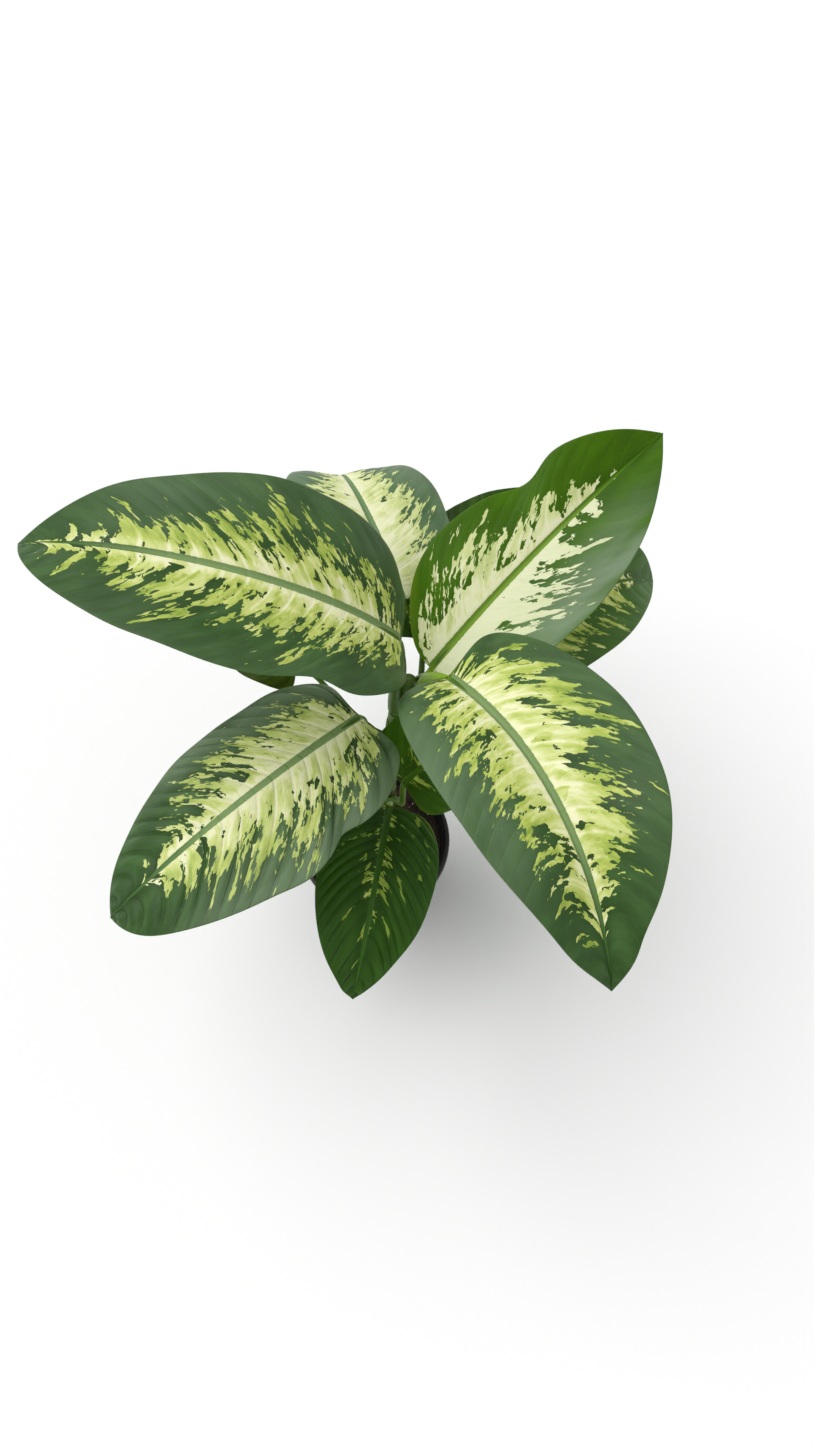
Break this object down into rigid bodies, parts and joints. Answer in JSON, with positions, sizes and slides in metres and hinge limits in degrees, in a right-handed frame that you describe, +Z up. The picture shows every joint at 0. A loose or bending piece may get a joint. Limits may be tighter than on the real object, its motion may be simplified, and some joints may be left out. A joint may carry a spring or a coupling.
{
  "type": "potted dieffenbachia",
  "caption": "Dumb cane house plant: broad arching leaves with cream centres on a leaning cane, standing in soil in a round black nursery pot.",
  "frame": {"origin": "centre of the pot's flat underside, on the surface it stands on", "axes": "+Z up along the pot's axis; -Y towards the side that the lowest and the largest drooping leaves face; +X to the right of it"},
  "size_m": [0.5839, 0.5546, 0.5883],
  "materials": {
    "pot": "satin",
    "soil": "matte",
    "cane": "satin",
    "leaf": "satin",
    "leaf_young": "satin",
    "leaf_shaded": "satin"
  },
  "bodies": {
    "root": {"pot": "pot", "soil": "soil", "cane": "cane", "leaf_young": "leaf_young", "leaf_back": "leaf", "leaf_left": "leaf", "leaf_front_right": "leaf", "leaf_back_low": "leaf_shaded", "leaf_left_low": "leaf_shaded", "leaf_front_left": "leaf", "leaf_right_low": "leaf", "leaf_inner": "leaf_shaded", "leaf_front_low": "leaf_shaded"}
  },
  "joints": []
}
